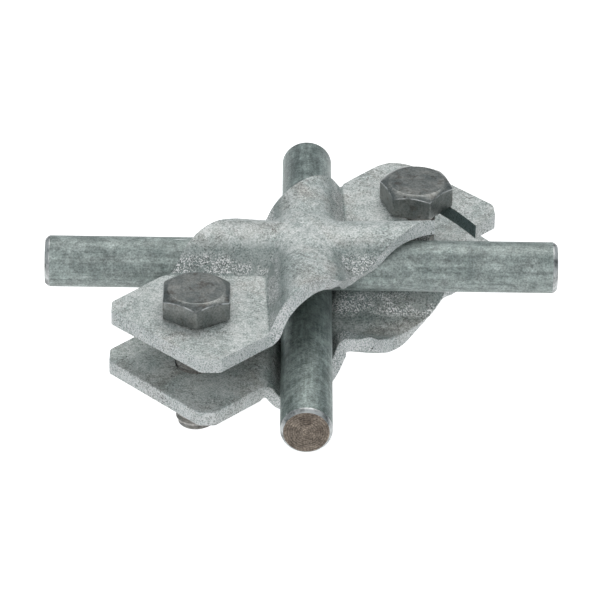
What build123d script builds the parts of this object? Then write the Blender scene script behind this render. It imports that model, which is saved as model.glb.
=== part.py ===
from build123d import *
from math import copysign, cos, radians, sin, sqrt, tan
import os

# Cross clamp for two round earthing conductors. Two pressed plates grip two rods that
# cross at right angles, and two bolts at the plates' ends draw them together.
# Frame: millimetres, +Z up. The origin is where the two rods touch. The upper rod lies
# along X, the lower rod along Y, and the plates' long side runs from front left to back right.
# Along and across mean the directions of the plates' long and short sides.

# Rods
rod_diameter = 10.0
rod_length = 100.0
rod_end_chamfer = 0.7
upper_rod_shift = -1.2      # middle of the upper rod along X, from the crossing
lower_rod_shift = 6.2       # middle of the lower rod along Y, from the crossing

# Pressed plates
plate_length = 82.4
plate_width = 30.0
plate_thickness = 3.0
corner_cut = 3.3            # leg of the cut across each corner of the blank
plate_turn = 45.0           # the blank's long side, from the upper rod
flange_gap = 8.6            # open height between the two plates' flanges
channel_nose_radius = 4.8   # inside radius along the bottom of a channel
channel_flank_angle = 60.0  # slope of a channel's sides, from the flange
fold_radius = 1.2           # radius in the hollow where flank and flange meet
rod_clearance = 0.2         # play between a rod and the sides of its channel
draw_in = 1.8               # how far pressing a channel pulls the sheet in from each side
upper_blank_along = -0.5    # how far off the middle of its channels each blank was pressed
upper_blank_across = -0.3
lower_blank_along = 0.4
lower_blank_across = 0.4

# Swing slot, which lets the upper plate hook onto the second bolt
slot_mouth = 9.8            # bolt axis to the near wall, at the plate's edge
slot_lip_radius = 1.2       # rounding of the prong beside the slot's mouth

# Bolts
pivot_bolt_along = -30.0    # places of the bolts' axes along the plates, from the crossing
slot_bolt_along = 29.1
slot_bolt_across = -1.3     # how far the second bolt stands off the plates' middle line
bolt_thread = 7.9           # outside diameter of the thread
bolt_length = 25.0
bolt_tip_chamfer = 0.9
head_across_flats = 12.8
head_height = 5.3           # whole head, with the round washer face under its hexagon
washer_face_height = 0.6
washer_face_diameter = 11.9
head_top_diameter = 12.2    # flat circle left by the chamfer on top
head_chamfer_angle = 30.0
bolt_clearance = 0.45       # play around a bolt in the upper plate, all round
thread_clearance = 0.05     # play around a bolt in the lower plate's tapped holes
pivot_head_turn = 30.0      # how each hexagon happens to stand
slot_head_turn = -10.0

# How finely and how far the cuts are made
outline_steps = 16          # points on the curve that pressing makes of a long side
cut_margin = 1.0            # how far a cut runs on past the sheet

# Lengths that follow from the sizes above
rod_radius = rod_diameter / 2
bolt_radius = bolt_thread / 2
middle = plate_thickness / 2
flank_slope = radians(channel_flank_angle)
head_seat = flange_gap / 2 + plate_thickness
upper_blank_front = upper_blank_across - plate_width / 2


def flank_foot(offset):
    # Distance from a channel's middle line to where its flank would meet the flange, on the
    # face that lies the given offset above the sheet's underside.
    reach = rod_radius + rod_clearance + offset
    level = flange_gap / 2 + offset
    return (reach - (level - rod_radius) * cos(flank_slope)) / sin(flank_slope)


def channel_tip(offset):
    # Height where the two flanks would meet if the channel had no nose radius.
    return rod_radius + (rod_radius + rod_clearance + offset) / cos(flank_slope)


def channel_section(offset):
    # Cross-section of the space below one channel. Its flanks are tangent to the rod's clearance.
    foot = flank_foot(offset)
    level = flange_gap / 2 + offset
    left = [(-foot, 0), (-foot, level)]
    right = [(foot, level), (foot, 0)]
    tent = make_face(Polyline(*left, (0, channel_tip(offset)), *right, close=True))
    return fillet(tent.vertices().sort_by(Axis.Y)[-1], channel_nose_radius + offset)


def is_fold(edge, level):
    # The hollow folds are the feet of the flanks and the diagonal lines where channels meet.
    place = edge.center()
    inside = max(abs(place.X), abs(place.Y)) < plate_length
    at_foot = abs(place.Z - level) < 0.01
    on_diagonal = abs(abs(place.X) - abs(place.Y)) < 0.01 and place.Z > level
    return inside and (at_foot or on_diagonal)


def space_below(offset):
    # Everything between the middle plane and the face at the given offset.
    level = flange_gap / 2 + offset
    section = channel_section(offset)
    half_size = plate_length + cut_margin
    along_x = extrude(Plane.YZ * section, amount=half_size, both=True)
    along_y = extrude(Plane.XZ * section, amount=half_size, both=True)
    base = (Align.CENTER, Align.CENTER, Align.MIN)
    solid = along_x + along_y + Box(2 * half_size, 2 * half_size, level, align=base)
    folds = [edge for edge in solid.edges() if is_fold(edge, level)]
    return solid.fillet(fold_radius + plate_thickness - offset, folds)


def drawn_in(run):
    # How far pressing pulls the sheet towards a channel's middle line, at the given distance
    # from it in the flat blank. The nose of the channel stays, and the flanks are drawn in.
    nose_edge = (channel_nose_radius + middle) * sin(flank_slope)
    ramp = min(max((abs(run) - nose_edge) / (channel_reach() - nose_edge), 0), 1)
    return copysign(draw_in * ramp * ramp * (3 - 2 * ramp), run)


def channel_reach():
    # Distance from a channel's middle line to its outermost fold, in the flat blank.
    return flank_foot(middle) + (fold_radius + middle) * tan(flank_slope / 2) + draw_in


def long_side(across):
    # A straight side of the blank becomes a curve where the two channels cross it.
    offset = sqrt(2) * across
    start = -channel_reach() - max(offset, 0)
    span = 2 * channel_reach() + abs(offset)
    runs = [start + span * step / outline_steps for step in range(outline_steps + 1)]
    points = [(run - drawn_in(run), run + offset - drawn_in(run + offset)) for run in runs]
    return Spline(points, tangents=[(1, 1), (1, 1)])


def blank_outline(along, across):
    # Outline of the pressed blank, which lies the given distances off its channels' middle.
    left = along - plate_length / 2
    right = along + plate_length / 2
    front = across - plate_width / 2
    back = across + plate_width / 2
    cut = corner_cut
    left_end = [(left + cut, front), (left, front + cut), (left, back - cut), (left + cut, back)]
    right_end = [(right - cut, back), (right, back - cut), (right, front + cut), (right - cut, front)]
    turn = Rot(0, 0, plate_turn)
    left_end = [(turn * Pos(*corner)).position for corner in left_end]
    right_end = [(turn * Pos(*corner)).position for corner in right_end]
    front_side = long_side(front)
    back_side = long_side(back)
    left_edges = Polyline(front_side @ 0, *left_end, back_side @ 0)
    right_edges = Polyline(back_side @ 1, *right_end, front_side @ 1)
    return make_face([front_side, left_edges, back_side, right_edges])


def pressed_plate(along, across):
    # Sheet of one thickness, with a cross of two equal channels pressed up out of it.
    sheet = space_below(plate_thickness) - space_below(0)
    height = channel_tip(plate_thickness) + cut_margin
    return sheet & extrude(blank_outline(along, across), amount=height, dir=(0, 0, 1))


def bolt_places():
    # The pivot bolt stands front left, the slot bolt back right.
    turn = Rot(0, 0, plate_turn)
    return turn * Pos(pivot_bolt_along, 0, 0), turn * Pos(slot_bolt_along, slot_bolt_across, 0)


def drill(radius):
    return Cylinder(radius, 2 * channel_tip(plate_thickness))


def swing_reach():
    # Distance from the pivot bolt's axis to the slot's far wall.
    pivot, slot = bolt_places()
    return (slot.position - pivot.position).length + bolt_radius + bolt_clearance


def swing_slot():
    # The far wall is an arc about the pivot bolt, so the plate can swing off the other bolt.
    # The near wall runs from the slot's round end to a wider mouth in the front edge.
    round_end = Pos(slot_bolt_along, slot_bolt_across) * Circle(bolt_radius + bolt_clearance)
    edge = upper_blank_front - cut_margin
    mouth = Line((slot_bolt_along - slot_mouth, edge), (slot_bolt_along + 2 * bolt_radius, edge))
    swept = make_hull(round_end.edges() + [mouth])
    swing = Pos(pivot_bolt_along, 0) * Circle(swing_reach())
    height = channel_tip(plate_thickness) + cut_margin
    return Rot(0, 0, plate_turn) * extrude(swept & swing, amount=height)


def prong_corner(plate):
    # Upright edge where the slot's far wall reaches the plate's front edge.
    along = pivot_bolt_along + sqrt(swing_reach() ** 2 - upper_blank_front ** 2)
    corner = Rot(0, 0, plate_turn) * Pos(along, upper_blank_front, head_seat - middle)
    return plate.edges().filter_by(Axis.Z).sort_by_distance(corner.position)[0]


def make_upper_plate():
    pivot, _ = bolt_places()
    plate = pressed_plate(upper_blank_along, upper_blank_across)
    plate = plate - pivot * drill(bolt_radius + bolt_clearance) - swing_slot()
    return fillet(prong_corner(plate), slot_lip_radius)


def make_lower_plate():
    # The same pressing turned over, with a tapped hole for each bolt.
    plate = mirror(pressed_plate(lower_blank_along, lower_blank_across), about=Plane.XY)
    for place in bolt_places():
        plate -= place * drill(bolt_radius + thread_clearance)
    return plate


def make_rod():
    rod = Cylinder(rod_radius, rod_length)
    return chamfer(rod.edges().filter_by(GeomType.CIRCLE), rod_end_chamfer)


def head_envelope():
    # Round body that the hexagon is cut from: washer face below, chamfer cone on top.
    corner_radius = head_across_flats / sqrt(3)
    top_radius = head_top_diameter / 2
    shoulder = head_height - (corner_radius - top_radius) * tan(radians(head_chamfer_angle))
    washer_face = [(washer_face_diameter / 2, 0), (washer_face_diameter / 2, washer_face_height)]
    side = [(corner_radius, washer_face_height), (corner_radius, shoulder)]
    top = [(top_radius, head_height), (0, head_height)]
    profile = make_face(Polyline((0, 0), *washer_face, *side, *top, close=True))
    return revolve(Plane.XZ * profile, axis=Axis.Z)


def make_bolt(head_turn):
    # Hexagon bolt standing head up, with the underside of its head at Z = 0.
    hexagon = extrude(RegularPolygon(head_across_flats / sqrt(3), 6), amount=head_height)
    head = head_envelope() & Rot(0, 0, head_turn) * hexagon
    shank = Cylinder(bolt_radius, bolt_length, align=(Align.CENTER, Align.CENTER, Align.MAX))
    shank = chamfer(shank.edges().sort_by(Axis.Z)[0], bolt_tip_chamfer)
    return head + shank


def build_parts():
    pivot, slot = bolt_places()
    seat = Pos(0, 0, head_seat)
    return {
        "lower_plate": make_lower_plate(),
        "upper_plate": make_upper_plate(),
        "lower_rod": Pos(0, lower_rod_shift, -rod_radius) * Rot(90, 0, 0) * make_rod(),
        "upper_rod": Pos(upper_rod_shift, 0, rod_radius) * Rot(0, 90, 0) * make_rod(),
        "pivot_bolt": seat * Pos(pivot.position) * make_bolt(pivot_head_turn),
        "slot_bolt": seat * Pos(slot.position) * make_bolt(slot_head_turn),
    }


os.makedirs("parts", exist_ok=True)
for name, solid in build_parts().items():
    export_step(solid, f"parts/{name}.step")
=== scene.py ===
from math import cos, exp, hypot, pi, radians, sin, sqrt, tan

import bmesh
import bpy
from mathutils import Matrix, Vector


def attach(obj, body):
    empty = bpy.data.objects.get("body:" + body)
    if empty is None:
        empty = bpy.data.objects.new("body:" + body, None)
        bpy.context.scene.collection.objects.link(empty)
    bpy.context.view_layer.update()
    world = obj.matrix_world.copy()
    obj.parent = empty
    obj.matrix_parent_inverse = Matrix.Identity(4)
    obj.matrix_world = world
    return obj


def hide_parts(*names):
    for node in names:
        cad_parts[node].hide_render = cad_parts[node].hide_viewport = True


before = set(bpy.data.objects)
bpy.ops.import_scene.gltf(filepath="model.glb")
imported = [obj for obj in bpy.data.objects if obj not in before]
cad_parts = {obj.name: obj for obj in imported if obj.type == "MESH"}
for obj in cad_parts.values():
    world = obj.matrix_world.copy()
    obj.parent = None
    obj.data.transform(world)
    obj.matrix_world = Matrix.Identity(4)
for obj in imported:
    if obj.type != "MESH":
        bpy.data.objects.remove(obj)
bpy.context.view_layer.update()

# Cross clamp: two pressed plates, two sample rods and two hexagon bolts. Shapes are built in
# millimetres in the frame's own axes and turned to metres when a piece is finished.
# Along and across mean the directions of the plates' long and short sides.

MM = 0.001
WHOLE_TURN = 2 * pi
NEAR = 0.02                # so small a distance counts as none

# Pressed plates
THICKNESS = 3.0
MIDDLE = THICKNESS / 2
PLATE_TURN = Matrix.Rotation(radians(45), 3, "Z")
FLANGE_MIDDLE = 5.8        # height of a flange's middle surface over the crossing
NOSE_RADIUS = 6.3          # the three parts of half a channel, on the sheet's middle surface
FOLD_RADIUS = 2.7
FLANK_ANGLE = radians(60)
CHANNEL_HEIGHT = 6.3
DRAW_IN = 1.8
FLARE = 0.45               # how much higher a channel stands towards its open ends
FLARE_REACH = 20.0
FLARE_LIMIT = 1.2          # the flare grows up to this many reaches from the crossing
CREASE = 4.0               # softness of the valleys where the two channels meet
THINNING = 1.3             # how much the sheet thins where a flank stretches it
LEAN_START = -5.0          # y where a leaning channel is in its right place
BRIDGE_START = 8.0         # how far off the plate's middle line a bridge begins to rise,
BRIDGE_RAMP = 6.0          # and how much further out it reaches its height
PULL_SCALE = 27 / 4        # makes the pull 1 where it is strongest
SEARCH_REACH = 60.0        # further out than any place on a plate
SEARCH_STEPS = 40

# Roundings of the plates
EDGE_ROUND = 0.75
CORNER_ROUND = 0.5
LIP_ROUND = 1.1            # the prong beside the slot's mouth
LIP_REACH = 1.5
SHARP_CORNER = radians(25)
SHARP_RIM = radians(60)

# How finely the plates are sliced: along their long sides, and over and beside the channels
EDGE_STEP = 1.1
EDGE_STEPS = 30
FINE_STEP = 0.45
FINE_STEPS = 25
COARSE_STEP = 2.6
COARSE_STEPS = 12

# Plates' outlines as pressed. Corners are (along, across, softness), and bows, by which the
# press pulled a long side inwards, are (size, reach, place along).
UPPER_CORNERS = [
    (-39.4, 13.7, 0), (-41.8, 11.3, 0), (-41.1, -12.7, 0), (-38.4, -15.3, 0),
    (37.3, -15.3, 0), (39.9, -12.3, 0.8), (39.3, 10.9, 3.0), (36.0, 14.25, 3.0),
]
UPPER_FRONT_BOWS = [(3.6, 4.4, 0.1), (0.95, 9, 11)]
UPPER_SLANT_BOWS = [(0.85, 3.1, 6.7)]
UPPER_BACK_BOWS = [(1.5, 14, 4)]
LOWER_CORNERS = [
    (-38.9, 14.9, 0), (-41.9, 11.9, 0), (-41.9, -12.9, 0), (-39.6, -15.2, 0), (40.3, -14.9, 0),
    (43.1, -12.1, 0), (44.6, 0.5, 0), (44.6, 12.0, 0), (41.5, 15.0, 0),
]
LOWER_FRONT_BOWS = [(1.8, 6.8, -1.4), (1.1, 4.1, 10.2), (1.8, 5.8, 17.5), (0.8, 4, 28.5)]
LONG_SIDE = 13.0           # further across than this a corner belongs to a long side

# Holes and the swing slot
PIVOT = Vector((-21.2132, -21.2132, 0))
SLOT = Vector((21.4960, 19.6576, 0))
HOLE_RADIUS = 4.4
TAPPED_RADIUS = 4.0
TOOL_DEPTH = 20.0
WALL_SWEEP = radians(18)   # the far wall about the pivot bolt
END_SWEEP = radians(160)   # the round end about the slot bolt
MOUTH = Vector((19.9, -16.3, 0))   # along and across, where the near wall leaves the plate
PRONG = (33.2, 10.6)       # x and y of the prong beside the mouth
WALL_FACING = 0.7          # how squarely the slot's far wall faces the pivot bolt, at least
SLOT_SIDE = 10.0           # the slot lies where x + y is more than this

# Bolts
BOLT_RADIUS = 3.93
BOLT_LENGTH = 25.0
TIP_RADIUS = 3.4
THREAD_ROOT = 3.28
PITCH = 1.25
THREAD_OUTLINE = [
    (THREAD_ROOT, 0), (THREAD_ROOT, 0.2), (BOLT_RADIUS, 0.57), (BOLT_RADIUS, 0.72),
    (THREAD_ROOT, 1.09), (THREAD_ROOT, PITCH),
]
THREAD_TURNS = 23
THREAD_TOP = 0.3           # how far the thread runs up into the head
TURN_STEPS = 40            # facets in one turn of the thread
HEAD_SEAT = 7.3            # height of the heads' underside over the crossing
HEAD_HEIGHT = 5.3
HEAD_CORNER = 7.3          # radius of the round body that the hexagon is cut from
HEAD_TOP = 5.55            # radius of the flat circle on top
HEAD_CHAMFER = radians(30)
HALF_FLATS = 6.4
FACE_RADIUS = 5.95         # washer face
FACE_HEIGHT = 0.6

# Rods
ROD_RADIUS = 5.0
ROD_LENGTH = 100.0
# A rod's end as (radius, depth below the end): centre mark, turned face and broken edge
ROD_END = [
    (0, 0.12), (0.5, 0.02), (0.9, 0), (4.25, 0), (4.4, 0.04), (4.9, 0.6), (ROD_RADIUS, 0.95),
]
TURNED_RADIUS = 4.4
UPPER_ROD = Vector((-1.2, 0, ROD_RADIUS))    # middles of the rods
LOWER_ROD = Vector((0, 6.2, -ROD_RADIUS))

# Camera, in the photograph's pixels, degrees and millimetres
PHOTO_SIZE = 600
PHOTO_MIDDLE = (307.04, 285.30)    # where the crossing lies in the photograph
FOCAL = 4601.0
DISTANCE = 902.0
RISE = radians(32.45)
SIDE = radians(-0.42)
ROLL = radians(1.02)
AIM_HEIGHT = 0.15
SENSOR = 36

# Floor and light, in metres
FLOOR_HEIGHT = -0.045
FLOOR_REACH = 4
FLOOR_GLOW = 0.68
FLOOR_GREY = 0.82
LAMP_COLOUR = (1.0, 0.965, 0.94)
WORLD_COLOUR = (0.8, 0.93, 1.0, 1)
WORLD_STRENGTH = 0.29

# Blender's wave texture runs through 20 radians in a unit of length at scale 1
WAVE_RATE = 20


# Shapes

def everything(bm):
    return bm.verts[:] + bm.edges[:] + bm.faces[:]


def only(items, kind):
    return [item for item in items if isinstance(item, kind)]


def eased(share):
    """A share between 0 and 1 that starts and ends gently."""
    share = min(max(share, 0), 1)
    return share * share * (3 - 2 * share)


def finished(bm, name, body, nodes, materials, smooth_angle=40):
    """Turn a bmesh in millimetres into a piece that rides on a body."""
    bmesh.ops.remove_doubles(bm, verts=bm.verts, dist=0.002)
    bmesh.ops.recalc_face_normals(bm, faces=bm.faces)
    bmesh.ops.scale(bm, vec=(MM, MM, MM), verts=bm.verts)
    for face in bm.faces:
        face.smooth = True
    for edge in bm.edges:
        if len(edge.link_faces) == 2:
            edge.smooth = edge.calc_face_angle(0) < radians(smooth_angle)
    piece = loose_object(bm, name)
    for material in materials:
        piece.data.materials.append(material)
    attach(piece, body)
    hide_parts(*nodes)
    return piece


def loose_object(bm, name):
    mesh = bpy.data.meshes.new(name)
    bm.to_mesh(mesh)
    bm.free()
    made = bpy.data.objects.new(name, mesh)
    bpy.context.collection.objects.link(made)
    return made


def even_shading(piece, weight):
    """Let large faces decide the shading, so that they look flat right up to their edges."""
    weighted = piece.modifiers.new("even_shading", "WEIGHTED_NORMAL")
    weighted.keep_sharp = True
    weighted.weight = weight


def spun(outline, steps, turns=1, rise=0.0):
    """Spin an outline of (radius, height) points about Z, and up by a rise in each turn."""
    bm = bmesh.new()
    verts = [bm.verts.new((radius, 0, height)) for radius, height in outline]
    edges = [bm.edges.new(pair) for pair in zip(verts, verts[1:])]
    bmesh.ops.spin(
        bm, geom=verts + edges, cent=(0, 0, 0), axis=(0, 0, 1), angle=WHOLE_TURN * turns,
        steps=steps * turns, dvec=(0, 0, rise / steps), use_merge=rise == 0,
    )
    return bm


def lathe(outline, steps):
    """A round body with this outline from axis to axis."""
    bm = spun(outline, steps)
    bmesh.ops.remove_doubles(bm, verts=bm.verts, dist=0.001)
    bmesh.ops.recalc_face_normals(bm, faces=bm.faces)
    return bm


def slice_at(bm, place, normal):
    """Add a line of corners where a plane meets the shape."""
    bmesh.ops.bisect_plane(bm, geom=everything(bm), dist=1e-4, plane_co=place, plane_no=normal)


def cut_off(bm, place, normal):
    """Take away what lies beyond a plane, and close the cut."""
    cut = bmesh.ops.bisect_plane(
        bm, geom=everything(bm), plane_co=place, plane_no=normal, clear_outer=True,
    )
    bmesh.ops.edgeloop_fill(bm, edges=only(cut["geom_cut"], bmesh.types.BMEdge))


def bevelled(bm, geom, width, segments, affect="EDGES"):
    """Round edges or the corners of a flat outline, and give back the new faces."""
    made = bmesh.ops.bevel(
        bm, geom=geom, offset=width, offset_type="OFFSET", segments=segments, profile=0.5,
        affect=affect, material=-1, clamp_overlap=affect == "EDGES",
    )
    return made["faces"]


def thicken(bm, height):
    """Raise a flat outline to a closed block."""
    top = bmesh.ops.extrude_face_region(bm, geom=bm.faces[:])["geom"]
    bmesh.ops.translate(bm, vec=(0, 0, height), verts=only(top, bmesh.types.BMVert))
    bmesh.ops.recalc_face_normals(bm, faces=bm.faces)


def carved(bm, tools):
    """Cut the tools' shapes out of a closed shape."""
    body = loose_object(bm, "blank")
    cutters = [loose_object(tool, "tool") for tool in tools]
    for cutter in cutters:
        cut = body.modifiers.new("cut", "BOOLEAN")
        cut.operation = "DIFFERENCE"
        cut.solver = "EXACT"
        cut.object = cutter
    shape = bmesh.new()
    shape.from_object(body, bpy.context.evaluated_depsgraph_get())
    for made in [body] + cutters:
        bpy.data.objects.remove(made)
    return shape


def merged(*shapes):
    """Put several shapes into one bmesh."""
    whole = bmesh.new()
    for shape in shapes:
        mesh = bpy.data.meshes.new("part")
        shape.to_mesh(mesh)
        shape.free()
        whole.from_mesh(mesh)
        bpy.data.meshes.remove(mesh)
    return whole


# Pressed plates

def half_channel():
    """Arc lengths of the nose, the flank and the fold, and the channel's half width."""
    rise = (NOSE_RADIUS + FOLD_RADIUS) * (1 - cos(FLANK_ANGLE))
    flank = (CHANNEL_HEIGHT - rise) / sin(FLANK_ANGLE)
    nose = NOSE_RADIUS * FLANK_ANGLE
    fold = FOLD_RADIUS * FLANK_ANGLE
    width = (NOSE_RADIUS + FOLD_RADIUS) * sin(FLANK_ANGLE) + flank * cos(FLANK_ANGLE)
    return nose, flank, fold, width


NOSE_ARC, FLANK, FOLD_ARC, HALF_WIDTH = half_channel()


def across_channel(run):
    """Where a point of the flat blank lands across a channel, and how high over the flange."""
    flat_half = HALF_WIDTH + DRAW_IN
    side = -1 if run < 0 else 1
    if abs(run) >= flat_half:
        return run - side * DRAW_IN, 0.0
    arc = abs(run) * (NOSE_ARC + FLANK + FOLD_ARC) / flat_half
    if arc < NOSE_ARC:
        angle = arc / NOSE_RADIUS
        return side * NOSE_RADIUS * sin(angle), CHANNEL_HEIGHT - NOSE_RADIUS * (1 - cos(angle))
    if arc < NOSE_ARC + FLANK:
        down = arc - NOSE_ARC
        place = NOSE_RADIUS * sin(FLANK_ANGLE) + down * cos(FLANK_ANGLE)
        height = CHANNEL_HEIGHT - NOSE_RADIUS * (1 - cos(FLANK_ANGLE)) - down * sin(FLANK_ANGLE)
        return side * place, height
    angle = FLANK_ANGLE - (arc - NOSE_ARC - FLANK) / FOLD_RADIUS
    return side * (HALF_WIDTH - FOLD_RADIUS * sin(angle)), FOLD_RADIUS * (1 - cos(angle))


def unrolled(goal):
    """Distance from a channel's middle in the flat blank, from that on the pressed plate."""
    low, high = -SEARCH_REACH, SEARCH_REACH
    for _ in range(SEARCH_STEPS):
        middle = (low + high) / 2
        if across_channel(middle)[0] < goal:
            low = middle
        else:
            high = middle
    return low


def flared(height, along):
    """A channel opens a little towards its ends."""
    return height * (1 + FLARE / CHANNEL_HEIGHT * min(abs(along) / FLARE_REACH, FLARE_LIMIT) ** 2)


def joined(first, second):
    """The higher of two channels, with a soft valley where they meet."""
    share = min(first, second) / CHANNEL_HEIGHT
    soft = CREASE * 2 * sqrt(max(share * (1 - share), 0.0)) + 1e-6
    near = max(soft - abs(first - second), 0.0) / soft
    return max(first, second) + near * near * soft / 4


class Form:
    """The shape a blank is pressed to. Its Y channel may lean, and between the two channels its
    edge may stay up like a bridge, around a place along the plate."""

    def __init__(self, lean=0.0, bridge=0.0, bridge_along=0.0, bridge_reach=1.0):
        self.lean = lean
        self.bridge = bridge
        self.bridge_along = bridge_along
        self.bridge_reach = bridge_reach

    def centre(self, y):
        """Where the Y channel's middle line lies at this y."""
        return -self.lean * (y - LEAN_START)

    def raised(self, x, y, height):
        """Between two channels the edge of the sheet doesn't come down to the flange."""
        if x * y >= 0:
            return height
        along, across = (x + y) / sqrt(2), (y - x) / sqrt(2)
        ramp = eased((abs(across) - BRIDGE_START) / BRIDGE_RAMP)
        near = max(1 - ((along - self.bridge_along) / self.bridge_reach) ** 2, 0) ** 2
        room = max(1 - height / CHANNEL_HEIGHT, 0)
        return height + self.bridge * ramp * near * room

    def pressed(self, flat_x, flat_y):
        """Place on the pressed sheet's middle surface of a point of the flat blank."""
        y, from_x_channel = across_channel(flat_y)
        x, from_y_channel = across_channel(flat_x - self.centre(y))
        height = joined(flared(from_y_channel, y), flared(from_x_channel, x))
        height = self.raised(x, y, height)
        return Vector((x + self.centre(y), y, FLANGE_MIDDLE + height))

    def flattened(self, place):
        """Where a place on the pressed plate lies in the flat blank, seen from above."""
        centre = self.centre(place[1])
        return unrolled(place[0] - centre) + centre, unrolled(place[1])


STRAIGHT = Form()
UPPER_FORM = Form(lean=0.05, bridge=2.1, bridge_along=-5.4, bridge_reach=4.1)
LOWER_FORM = Form(bridge=2.6, bridge_along=3.0, bridge_reach=8.3)


def press(bm, form):
    """Move the flat blank's corners onto the pressed sheet, its cut faces square to it. Three
    values go with them for the material: on a cut face, on a stretched flank, and on the slot's
    far wall, which gets painted shade."""
    rim, pull, painted_slot_wall_shade = [bm.verts.layers.float.new(name) for name in ("rim", "pull", "painted_slot_wall_shade")]
    bm.normal_update()
    for vert in bm.verts:
        x, y, depth = vert.co
        along_x = form.pressed(x + NEAR, y) - form.pressed(x - NEAR, y)
        along_y = form.pressed(x, y + NEAR) - form.pressed(x, y - NEAR)
        normal = along_x.cross(along_y).normalized()
        middle = form.pressed(x, y)
        share = min(max((middle.z - FLANGE_MIDDLE) / CHANNEL_HEIGHT, 0), 1)
        facing_pivot = -(vert.normal.x + vert.normal.y) / sqrt(2)
        vert[rim] = 1.0 if abs(depth) < MIDDLE - NEAR else 0.0
        # The cut face of the slot's far wall, facing the pivot bolt, carries painted shade.
        vert[painted_slot_wall_shade] = vert[rim] if facing_pivot > WALL_FACING and x + y > SLOT_SIDE else 0.0
        vert[pull] = PULL_SCALE * share * (1 - share) ** 2
        below = 0.5 - depth / THICKNESS
        vert.co = middle + normal * (depth + THINNING * (1 - normal.z) * below)


def bowed(along, bows):
    """How far pressing has pulled a long side inwards at a place along the plate."""
    return sum(size * exp(-((along - place) / reach) ** 2) for size, reach, place in bows)


def blank(corners, front_bows, slant_bows, back_bows, form):
    """Flat blank for a pressed plate with these corners and bows.
    Slant bows pull only the upper edge of the front cut face inwards."""
    bm = bmesh.new()
    outline = [bm.verts.new((along, across, 0)) for along, across, _ in corners]
    bm.faces.new(outline)
    for vert, (_, _, softness) in zip(outline, corners):
        if softness:
            bevelled(bm, [vert], softness, segments=6, affect="VERTICES")
    for step in range(-EDGE_STEPS, EDGE_STEPS + 1):
        slice_at(bm, (step * EDGE_STEP, 0, 0), (1, 0, 0))
    bmesh.ops.dissolve_faces(bm, faces=bm.faces[:], use_verts=False)
    bmesh.ops.translate(bm, vec=(0, 0, -MIDDLE), verts=bm.verts)
    thicken(bm, THICKNESS)
    for vert in bm.verts:
        if vert.co.y < -LONG_SIDE:
            vert.co.y += bowed(vert.co.x, front_bows + (slant_bows if vert.co.z > 0 else []))
        elif vert.co.y > LONG_SIDE:
            vert.co.y -= bowed(vert.co.x, back_bows)
    bmesh.ops.rotate(bm, cent=(0, 0, 0), matrix=PLATE_TURN, verts=bm.verts)
    for vert in bm.verts:
        vert.co.xy = form.flattened(vert.co)
    return bm


def round_tool(place, radius):
    """What a round hole takes out of the flat blank."""
    bm = bmesh.new()
    bmesh.ops.create_cone(
        bm, cap_ends=True, segments=64, radius1=radius, radius2=radius, depth=TOOL_DEPTH,
        matrix=Matrix.Translation((*STRAIGHT.flattened(place), 0)),
    )
    return bm


def slot_tool():
    """The swing slot: round end, far wall on an arc about the pivot bolt, straight near wall."""
    bm = bmesh.new()
    start = bm.verts.new(SLOT + (SLOT - PIVOT).normalized() * HOLE_RADIUS)
    wall = bmesh.ops.spin(
        bm, geom=[start], cent=PIVOT, axis=(0, 0, -1), angle=WALL_SWEEP, steps=24,
    )
    end = bmesh.ops.spin(
        bm, geom=[start], cent=SLOT, axis=(0, 0, 1), angle=END_SWEEP, steps=32,
    )
    mouth_far = only(wall["geom_last"], bmesh.types.BMVert)[0]
    near = only(end["geom_last"], bmesh.types.BMVert)[0]
    mouth = bm.verts.new(PLATE_TURN @ MOUTH)
    near_wall = bm.edges.new((near, mouth))
    bm.edges.new((mouth, mouth_far))
    bmesh.ops.subdivide_edges(bm, edges=[near_wall], cuts=8)
    for vert in bm.verts:
        vert.co = (*STRAIGHT.flattened(vert.co), -TOOL_DEPTH / 2)
    bmesh.ops.contextual_create(bm, geom=bm.edges[:])
    thicken(bm, TOOL_DEPTH)
    return bm


def is_upright(edge):
    return abs(edge.verts[0].co.z - edge.verts[1].co.z) > MIDDLE


def round_edges(bm, lip):
    """Round the blank's upright corners, then its edges, as the zinc coat leaves them."""
    bmesh.ops.remove_doubles(bm, verts=bm.verts, dist=0.001)
    sharp = [e for e in bm.edges if is_upright(e) and e.calc_face_angle(0) > SHARP_CORNER]
    lips = [e for e in sharp if lip and (e.verts[0].co.xy - Vector(lip)).length < LIP_REACH]
    plain = [e for e in sharp if e not in lips]
    for edges, width in ((lips, LIP_ROUND), (plain, CORNER_ROUND)):
        if edges:
            bevelled(bm, edges, width, segments=6)
    rims = [e for e in bm.edges if not is_upright(e) and e.calc_face_angle(0) > SHARP_RIM]
    bevelled(bm, rims, EDGE_ROUND, segments=4)


def slice_up(bm):
    """Slice the blank along both channels, finely where it is going to bend."""
    fine_reach = FINE_STEPS * FINE_STEP
    fine = [step * FINE_STEP for step in range(-FINE_STEPS, FINE_STEPS + 1)]
    beside = [fine_reach + step * COARSE_STEP for step in range(1, COARSE_STEPS + 1)]
    for normal in ((1, 0, 0), (0, 1, 0)):
        for place in fine + [-distance for distance in beside] + beside:
            slice_at(bm, Vector(normal) * place, normal)


def plate(name, body, flat, tools, lip, form, turned_over):
    """Cut the holes in a flat blank, round its edges and press it."""
    bm = carved(flat, tools)
    round_edges(bm, lip)
    slice_up(bm)
    press(bm, form)
    if turned_over:
        bmesh.ops.scale(bm, vec=(1, 1, -1), verts=bm.verts)
    piece = finished(bm, name + "_pressed", body, [name], [PLATE_ZINC])
    even_shading(piece, weight=90)


# Bolts and rods

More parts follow.
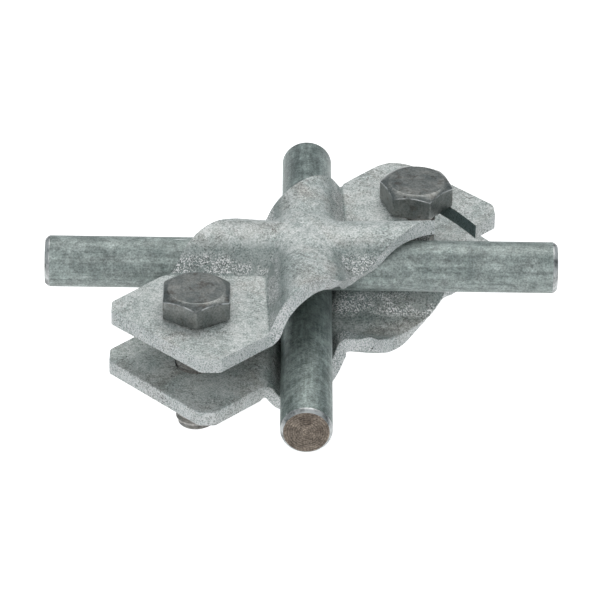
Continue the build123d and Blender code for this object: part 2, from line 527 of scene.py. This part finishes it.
def hexagon_head(turn):
    """A round body with washer face and chamfer, cut by six planes to a hexagon."""
    shoulder = HEAD_HEIGHT - (HEAD_CORNER - HEAD_TOP) * tan(HEAD_CHAMFER)
    bm = lathe([
        (0, 0), (FACE_RADIUS, 0), (FACE_RADIUS, FACE_HEIGHT), (HEAD_CORNER, FACE_HEIGHT),
        (HEAD_CORNER, shoulder), (HEAD_TOP, HEAD_HEIGHT), (0, HEAD_HEIGHT),
    ], steps=144)
    for side in range(6):
        angle = turn + radians(60 * side + 30)
        normal = Vector((cos(angle), sin(angle), 0))
        cut_off(bm, normal * HALF_FLATS, normal)
    bmesh.ops.recalc_face_normals(bm, faces=bm.faces)
    # Edges that turn by about 30 degrees keep their zinc, and those of 60 degrees are worn and
    # drawn bright, which also paints their highlight.
    soften(bm, least=22, most=40, width=0.1, index=0)
    soften(bm, least=40, most=75, width=0.14, index=1)
    return bm


def soften(bm, least, most, width, index):
    """Bevel the edges that turn by an angle in this range, and give the bevel its material."""
    edges = [e for e in bm.edges if radians(least) < e.calc_face_angle(0) < radians(most)]
    for face in bevelled(bm, edges, width, segments=2):
        face.material_index = index


def thread():
    """One pitch of a thread's outline, wound down the shank, pointed and cut to length."""
    bm = spun(THREAD_OUTLINE, TURN_STEPS, THREAD_TURNS, PITCH)
    bmesh.ops.remove_doubles(bm, verts=bm.verts, dist=0.003)
    bmesh.ops.translate(bm, vec=(0, 0, -BOLT_LENGTH - 2 * PITCH), verts=bm.verts)
    for vert in bm.verts:
        limit = TIP_RADIUS + max(vert.co.z + BOLT_LENGTH, 0)
        radius = hypot(vert.co.x, vert.co.y)
        if radius > limit:
            vert.co.x *= limit / radius
            vert.co.y *= limit / radius
    cut_off(bm, (0, 0, -BOLT_LENGTH), (0, 0, -1))
    cut_off(bm, (0, 0, THREAD_TOP), (0, 0, 1))
    return bm


def bolt(name, place, turn):
    """A hexagon bolt, whose materials are its zinc, its worn edges drawn bright as wear and
    painted highlight, and its thread.
    """
    bm = merged(hexagon_head(radians(turn)), thread())
    bmesh.ops.translate(bm, vec=(place.x, place.y, HEAD_SEAT), verts=bm.verts)
    piece = finished(
        bm, name + "_threaded", name, [name], [BOLT_ZINC, WORN_EDGE_AND_HIGHLIGHT, THREAD_ZINC],
        smooth_angle=50,
    )
    even_shading(piece, weight=50)
    for face in piece.data.polygons:
        if face.center.z < (HEAD_SEAT - NEAR) * MM:
            face.material_index = 2


def rod(name, middle, axis, materials):
    """A plain round with small broken edges and a turned face at each end."""
    half = ROD_LENGTH / 2
    start = [(radius, -half + depth) for radius, depth in ROD_END]
    end = [(radius, half - depth) for radius, depth in reversed(ROD_END)]
    bm = lathe(start + end, steps=128)
    broken_edge = ROD_END[-1][1]
    for face in bm.faces:
        middle_of_face = face.calc_center_median()
        if abs(middle_of_face.z) > half - broken_edge:
            # Broken edges take the worn edge material, bright as wear and painted highlight.
            face.material_index = 1 if middle_of_face.xy.length < TURNED_RADIUS else 2
    turn = Matrix.Rotation(radians(90), 3, axis)
    bmesh.ops.rotate(bm, cent=(0, 0, 0), matrix=turn, verts=bm.verts)
    bmesh.ops.translate(bm, vec=middle, verts=bm.verts)
    finished(bm, name + "_turned", "base", [name], materials, smooth_angle=30)


# Materials

def rgb(code):
    """Linear colour from an sRGB hex code."""
    parts = [int(code[i:i + 2], 16) / 255 for i in (0, 2, 4)]
    return [p / 12.92 if p <= 0.04045 else ((p + 0.055) / 1.055) ** 2.4 for p in parts] + [1.0]


def grey(level):
    return (level, level, level, 1)


def add(tree, kind, inputs=None, stops=(), **settings):
    """Add a node with its settings, its inputs' values or links, and the (place, grey) stops of
    a ramp. A node given as an input is linked by its first output in use."""
    node = tree.nodes.new("ShaderNode" + kind)
    for name, value in settings.items():
        setattr(node, name, value)
    for name, value in (inputs or {}).items():
        if isinstance(value, bpy.types.Node):
            value = next(output for output in value.outputs if output.enabled)
        if isinstance(value, bpy.types.NodeSocket):
            tree.links.new(value, node.inputs[name])
        else:
            node.inputs[name].default_value = value
    while stops and len(node.color_ramp.elements) < len(stops):
        node.color_ramp.elements.new(0.5)
    for index, (place, level) in enumerate(stops):
        node.color_ramp.elements[index].position = place
        node.color_ramp.elements[index].color = grey(level)
    return node


def new_material(name):
    material = bpy.data.materials.new(name)
    material.use_nodes = True
    tree = material.node_tree
    tree.nodes.clear()
    return material, tree


def spots(tree, where, size, detail, roughness, distortion=0.0, stops=()):
    """Cloudy spots about this many millimetres across. Stops set how dark and crisp they are,
    and detail, roughness and distortion are those of Blender's noise."""
    noise = add(tree, "TexNoise", {
        "Vector": where, "Scale": 1 / (size * MM), "Detail": detail, "Roughness": roughness,
        "Distortion": distortion,
    })
    return add(tree, "ValToRGB", {"Fac": noise}, stops) if stops else noise


def layered(tree, lowest, *layers):
    """Lay (blend, share, colour or pattern) over what is lowest, one after the other."""
    for blend, share, upper in layers:
        sides = {0: share, 6: lowest, 7: upper}
        lowest = add(tree, "Mix", sides, data_type="RGBA", blend_type=blend)
    return lowest


def shaded(tree, colour, metallic, rough, height, strength, depth):
    """Surface with a relief of the given depth in millimetres, wired to the output."""
    relief = {"Strength": strength, "Distance": depth * MM, "Height": height}
    shader = add(tree, "BsdfPrincipled", {
        "Base Color": colour, "Metallic": metallic, "Roughness": rough,
        "Normal": add(tree, "Bump", relief),
    })
    add(tree, "OutputMaterial", {"Surface": shader})


def sheet_zinc(name):
    """Hot-dip zinc on pressed sheet. It gives the eye a pale, cloudy, finely grained grey with
    brown stains, fine dark lines and pits. It also carries painted light: white specks of painted
    glint on the cut faces and in patches of the stretched flanks, painted shade on the flanks, and
    painted shade on the slot's far wall. The glint specks and pits are drawn coarser than real
    crystals and pits, so that they show."""
    material, tree = new_material(name)
    where = add(tree, "TexCoord").outputs["Object"]
    rim, pull, painted_slot_wall_shade = [
        add(tree, "Attribute", attribute_name=layer) for layer in ("rim", "pull", "painted_slot_wall_shade")
    ]
    clouds = spots(tree, where, 5.88, 4, 0.6, 0.5, [(0.34, 0.0), (0.66, 1.0)])
    stains = spots(tree, where, 10.5, 3, 0.6, 0.8, [(0.5, 0.0), (0.7, 0.42)])
    patches = spots(tree, where, 1.0, 3, 0.6, 0.3)
    grain = spots(tree, where, 0.3333, 2, 0.7)
    pits = spots(tree, where, 0.7143, 2, 0.45, 0.0, [(0.24, 1.0), (0.29, 0.0)])

    # Fine dark lines, where the coat has run and been scratched.
    lines = layered(
        tree, spots(tree, where, 3.03, 4, 0.65, 1.2, [(0.485, 0.0), (0.5, 1.0), (0.515, 0.0)]),
        ("MULTIPLY", 1.0, spots(tree, where, 8.33, 2, 0.5, 0.0, [(0.46, 0.0), (0.56, 0.9)])),
    )

    # Painted shade: the stretched flanks are darkened, apart from their cut faces.
    painted_flank_shade = layered(
        tree, add(tree, "ValToRGB", {"Fac": pull}, [(0.0, 0.0), (0.35, 1.0)]),
        ("SUBTRACT", 1.0, rim),
        ("MULTIPLY", 1.0, grey(0.6)),
    )

    # Painted glints: white specks on the cut faces and in areas of the stretched flanks. Their
    # lower roughness and stronger bump are real, and their white colour is painted highlight.
    glint_on_rims = layered(
        tree, rim,
        ("MULTIPLY", 1.0, add(tree, "ValToRGB", {"Fac": pull}, [(0.0, 0.6), (0.4, 1.0)])),
    )
    glint_on_flanks = layered(
        tree, spots(tree, where, 3.85, 2, 0.5, 0.0, [(0.36, 0.15), (0.5, 1.0)]),
        ("MULTIPLY", 1.0, add(tree, "ValToRGB", {"Fac": pull}, [(0.3, 0.0), (0.8, 1.0)])),
    )
    glint_speckle = layered(tree, spots(tree, where, 0.2857, 2, 0.7), ("ADD", 0.05, rim))
    painted_glint = layered(
        tree, add(tree, "ValToRGB", {"Fac": glint_speckle}, [(0.5, 0.0), (0.56, 1.0)]),
        ("MULTIPLY", 1.0, layered(tree, glint_on_rims, ("LIGHTEN", 1.0, glint_on_flanks))),
    )

    colour = layered(
        tree, rgb("b0b8b6"),
        ("MIX", clouds, rgb("d2d6d4")),
        ("MIX", stains, rgb("938a82")),
        ("OVERLAY", 0.6, add(tree, "ValToRGB", {"Fac": patches}, [(0.32, 0.27), (0.68, 0.73)])),
        ("OVERLAY", 0.8, add(tree, "ValToRGB", {"Fac": grain}, [(0.3, 0.12), (0.7, 0.88)])),
        ("MIX", lines, rgb("5d5853")),
        ("MULTIPLY", rim, rgb("f2f6f6")),
        # painted shade on the stretched flanks
        ("MULTIPLY", painted_flank_shade, rgb("8a9a98")),
        # painted glints, white
        ("MIX", painted_glint, rgb("ffffff")),
        # painted shade on the slot's far wall
        ("MULTIPLY", painted_slot_wall_shade, rgb("6f8080")),
        ("MIX", pits, rgb("474e4c")),
    )
    rough = layered(
        tree, add(tree, "ValToRGB", {"Fac": patches}, [(0.3, 0.45), (0.7, 0.65)]),
        ("MIX", painted_glint, grey(0.2)),
    )
    metallic = layered(tree, grey(0.2), ("MIX", painted_glint, grey(0.0)))
    height = layered(
        tree, grain, ("MIX", 0.45, patches), ("SUBTRACT", 0.4, pits), ("ADD", 0.9, painted_glint),
    )
    shaded(tree, colour, metallic, rough, height, strength=0.7, depth=0.12)
    return material


def drawn_zinc(name, pale, dark, axis, metallic):
    """Thin zinc on drawn round bar. It gives the eye soft clouds with fine streaks, dark scratches
    and bright ticks of painted glint, all of them along the bar."""
    material, tree = new_material(name)
    where = add(tree, "TexCoord").outputs["Object"]
    drawn, long_drawn = [
        add(tree, "Mapping", {
            "Vector": where, "Scale": [share if side == axis else 1.0 for side in "XYZ"],
        })
        for share in (0.12, 0.04)
    ]
    clouds = spots(tree, where, 4.35, 4, 0.62, 0.6)
    streaks = spots(tree, drawn, 0.769, 3, 0.6)
    grain = spots(tree, where, 0.3571, 2, 0.7)
    blotches = spots(tree, where, 1.5625, 3, 0.6, 0.5, [(0.32, 0.28), (0.6, 0.66)])
    scratches = spots(tree, long_drawn, 0.4167, 2, 0.6, 0.0, [(0.66, 0.0), (0.74, 0.5)])
    # Bright ticks are painted glints.
    painted_glints = spots(tree, drawn, 1.111, 2, 0.5, 0.0, [(0.72, 0.0), (0.76, 0.8)])
    colour = layered(
        tree, rgb(dark),
        ("MIX", add(tree, "ValToRGB", {"Fac": clouds}, [(0.34, 0.0), (0.66, 1.0)]), rgb(pale)),
        ("OVERLAY", 0.6, blotches),
        ("OVERLAY", 0.6, add(tree, "ValToRGB", {"Fac": streaks}, [(0.32, 0.3), (0.68, 0.7)])),
        ("OVERLAY", 0.8, add(tree, "ValToRGB", {"Fac": grain}, [(0.3, 0.25), (0.7, 0.75)])),
        ("MIX", scratches, rgb("565f5d")),
        ("MIX", painted_glints, rgb("e6ebea")),
    )
    rough = add(tree, "ValToRGB", {"Fac": clouds}, [(0.3, 0.44), (0.7, 0.58)])
    height = layered(tree, streaks, ("MIX", 0.5, grain))
    shaded(tree, colour, metallic, rough, height, strength=0.4, depth=0.07)
    return material


def dark_zinc(name, pale, dark, metallic, roughness):
    """Thin dark zinc on bolt steel. It gives the eye a metal sheen under soft clouds, with
    brownish spots and light scuffs from handling."""
    material, tree = new_material(name)
    where = add(tree, "TexCoord").outputs["Object"]
    along_scuffs = add(tree, "Mapping", {"Vector": where, "Scale": (0.35, 1.4, 1.0)})
    clouds = spots(tree, where, 3.03, 4, 0.65, 0.6)
    scuffs = spots(tree, along_scuffs, 0.769, 3, 0.6)
    grain = spots(tree, where, 0.3846, 2, 0.6)
    brown = spots(tree, where, 1.923, 3, 0.6, 0.5, [(0.56, 0.0), (0.66, 0.55)])
    colour = layered(
        tree, rgb(dark),
        ("MIX", add(tree, "ValToRGB", {"Fac": clouds}, [(0.32, 0.0), (0.68, 1.0)]), rgb(pale)),
        ("MIX", brown, rgb("574f49")),
        ("OVERLAY", 0.7, add(tree, "ValToRGB", {"Fac": grain}, [(0.3, 0.3), (0.7, 0.7)])),
        ("MIX", add(tree, "ValToRGB", {"Fac": scuffs}, [(0.64, 0.0), (0.74, 0.6)]), rgb("a9acab")),
    )
    rough_stops = [(0.3, roughness - 0.08), (0.7, roughness + 0.1)]
    rough = add(tree, "ValToRGB", {"Fac": clouds}, rough_stops)
    height = layered(tree, grain, ("MIX", 0.5, scuffs))
    shaded(tree, colour, metallic, rough, height, strength=0.6, depth=0.06)
    return material


def turned_steel(name, axis, middle):
    """Bare sawn and turned rod end. It gives the eye a rough brownish grey with faint rings
    about the rod's axis. The tool marks are drawn coarser than they are, so that they show."""
    material, tree = new_material(name)
    where = add(tree, "Mapping", {
        "Vector": add(tree, "TexCoord").outputs["Object"], "Location": (0, 0, -middle.z * MM),
    })
    ring_step = 0.449
    rings = add(tree, "TexWave", {
        "Vector": where, "Scale": WHOLE_TURN / (WAVE_RATE * ring_step * MM), "Distortion": 3.5,
        "Detail": 3.0, "Detail Scale": 3.0,
    }, wave_type="RINGS", rings_direction=axis)
    blotches = spots(tree, where, 2.381, 4, 0.65, 0.0, [(0.34, 0.0), (0.66, 1.0)])
    grain = spots(tree, where, 0.4167, 2, 0.6)
    colour = layered(
        tree, rgb("50473f"),
        ("MIX", blotches, rgb("84796e")),
        ("OVERLAY", 0.9, add(tree, "ValToRGB", {"Fac": grain}, [(0.3, 0.2), (0.7, 0.85)])),
        ("OVERLAY", 0.25, rings),
    )
    height = layered(tree, rings, ("MIX", 0.35, grain))
    shaded(tree, colour, 0.6, 0.45, height, strength=0.5, depth=0.05)
    return material


def worn_steel_and_highlight(name, code):
    """Steel where the zinc is rubbed off an edge, drawn bright so that it is also a painted
    highlight along the edge. It gives the eye a bright broken line.
    """
    material, tree = new_material(name)
    wear = spots(tree, add(tree, "TexCoord").outputs["Object"], 2.0, 3, 0.6)
    worn = add(tree, "ValToRGB", {"Fac": wear}, [(0.38, 0.0), (0.58, 1.0)])
    colour = layered(tree, rgb("6d7070"), ("MIX", worn, rgb(code)))
    shaded(tree, colour, 0.6, 0.4, wear, strength=0.3, depth=0.03)
    return material


# Camera, floor and lights

def camera():
    """Long lens from the photograph's side, worked out from the rods and bolts in it."""
    back = Vector((sin(SIDE) * cos(RISE), -cos(SIDE) * cos(RISE), sin(RISE)))
    right = Vector((cos(SIDE), sin(SIDE), 0))
    up = back.cross(right)
    right, up = cos(ROLL) * right + sin(ROLL) * up, cos(ROLL) * up - sin(ROLL) * right
    x = (PHOTO_MIDDLE[0] - PHOTO_SIZE / 2) / FOCAL * DISTANCE
    y = (PHOTO_SIZE / 2 - PHOTO_MIDDLE[1]) / FOCAL * DISTANCE
    lens = bpy.data.cameras.new("camera")
    lens.sensor_width = SENSOR
    lens.lens = FOCAL / PHOTO_SIZE * SENSOR
    lens.clip_start = 0.05
    lens.clip_end = 20
    holder = bpy.data.objects.new("camera", lens)
    matrix = Matrix((right, up, back)).transposed().to_4x4()
    matrix.translation = (DISTANCE * back - x * right - y * up + Vector((0, 0, AIM_HEIGHT))) * MM
    holder.matrix_world = matrix
    bpy.context.collection.objects.link(holder)
    bpy.context.scene.camera = holder


def in_view(tree):
    """1 for rays from the camera, mirrors and glass, and 0 for those that gather light."""
    path = add(tree, "LightPath")
    seen = path.outputs["Is Camera Ray"]
    for kind in ("Is Glossy Ray", "Is Transmission Ray"):
        seen = add(tree, "Math", {0: seen, 1: path.outputs[kind]}, operation="MAXIMUM")
    return seen


def floor():
    """A matt floor that glows in view only, so that it looks as white as the photograph's
    background and doesn't light the clamp any more than a plain floor."""
    bm = bmesh.new()
    bmesh.ops.create_grid(bm, x_segments=1, y_segments=1, size=FLOOR_REACH)
    bmesh.ops.translate(bm, vec=(0, 0, FLOOR_HEIGHT), verts=bm.verts)
    made = loose_object(bm, "floor")
    material, tree = new_material("pale_floor")
    glow = add(tree, "Emission", {"Color": grey(1.0), "Strength": FLOOR_GLOW})
    glow_in_view = add(tree, "MixShader", {0: in_view(tree), 2: glow})
    plain = add(tree, "BsdfDiffuse", {"Color": grey(FLOOR_GREY)})
    both = add(tree, "AddShader", {0: plain, 1: glow_in_view})
    add(tree, "OutputMaterial", {"Surface": both})
    made.data.materials.append(material)


def lamp(name, place, size, power):
    """A soft lamp that faces the crossing."""
    light = bpy.data.lights.new(name, "AREA")
    light.shape = "RECTANGLE"
    light.size, light.size_y = size
    light.energy = power
    light.color = LAMP_COLOUR
    holder = bpy.data.objects.new(name, light)
    holder.location = place
    holder.rotation_euler = (-Vector(place)).to_track_quat("-Z", "Y").to_euler()
    bpy.context.collection.objects.link(holder)


def studio():
    """A dim, cool room with a large lamp above and behind, and a smaller one in front."""
    world = bpy.data.worlds.new("studio")
    world.use_nodes = True
    background = world.node_tree.nodes["Background"]
    background.inputs["Color"].default_value = WORLD_COLOUR
    background.inputs["Strength"].default_value = WORLD_STRENGTH
    bpy.context.scene.world = world
    lamp("top", place=(0.1, 0.45, 0.95), size=(1.2, 0.6), power=6.2)
    lamp("front", place=(-0.1, -0.74, 0.62), size=(1.1, 0.4), power=3.5)
    bpy.context.scene.view_settings.view_transform = "Standard"


camera()
floor()
studio()

PLATE_ZINC = sheet_zinc("hot_dip_zinc_on_pressed_sheet")
ROD_X_ZINC = drawn_zinc("zinc_on_drawn_bar_x", "a4adaa", "828d8a", "X", 0.3)
# The lower rod's zinc is drawn darker than the upper rod's: painted shade for the rod lying low
# under the plates.
ROD_Y_ZINC_SHADED = drawn_zinc("zinc_on_drawn_bar_y_painted_shade", "98a3a0", "707b78", "Y", 0.6)
BOLT_ZINC = dark_zinc("dark_zinc_on_bolt_steel", "91928f", "757a79", 0.85, 0.38)
THREAD_ZINC = dark_zinc("dark_zinc_on_rolled_thread", "cbc8c4", "a6a39f", 0.5, 0.42)
# Worn edges, partly real wear and partly painted highlight.
WORN_EDGE_AND_HIGHLIGHT = worn_steel_and_highlight("worn_edge_and_painted_highlight", "c9cccc")
END_X = turned_steel("bare_turned_end_x", "X", UPPER_ROD)
END_Y = turned_steel("bare_turned_end_y", "Y", LOWER_ROD)

plate(
    "upper_plate", "cover",
    blank(UPPER_CORNERS, UPPER_FRONT_BOWS, UPPER_SLANT_BOWS, UPPER_BACK_BOWS, UPPER_FORM),
    [round_tool(PIVOT, HOLE_RADIUS), slot_tool()],
    UPPER_FORM.flattened(PRONG), UPPER_FORM, turned_over=False,
)
plate(
    "lower_plate", "base",
    blank(LOWER_CORNERS, LOWER_FRONT_BOWS, [], [], LOWER_FORM),
    [round_tool(place, TAPPED_RADIUS) for place in (PIVOT, SLOT)],
    None, LOWER_FORM, turned_over=True,
)
bolt("pivot_bolt", PIVOT, 30)
bolt("slot_bolt", SLOT, -10)
rod("upper_rod", UPPER_ROD, "Y", [ROD_X_ZINC, END_X, WORN_EDGE_AND_HIGHLIGHT])
rod("lower_rod", LOWER_ROD, "X", [ROD_Y_ZINC_SHADED, END_Y, WORN_EDGE_AND_HIGHLIGHT])
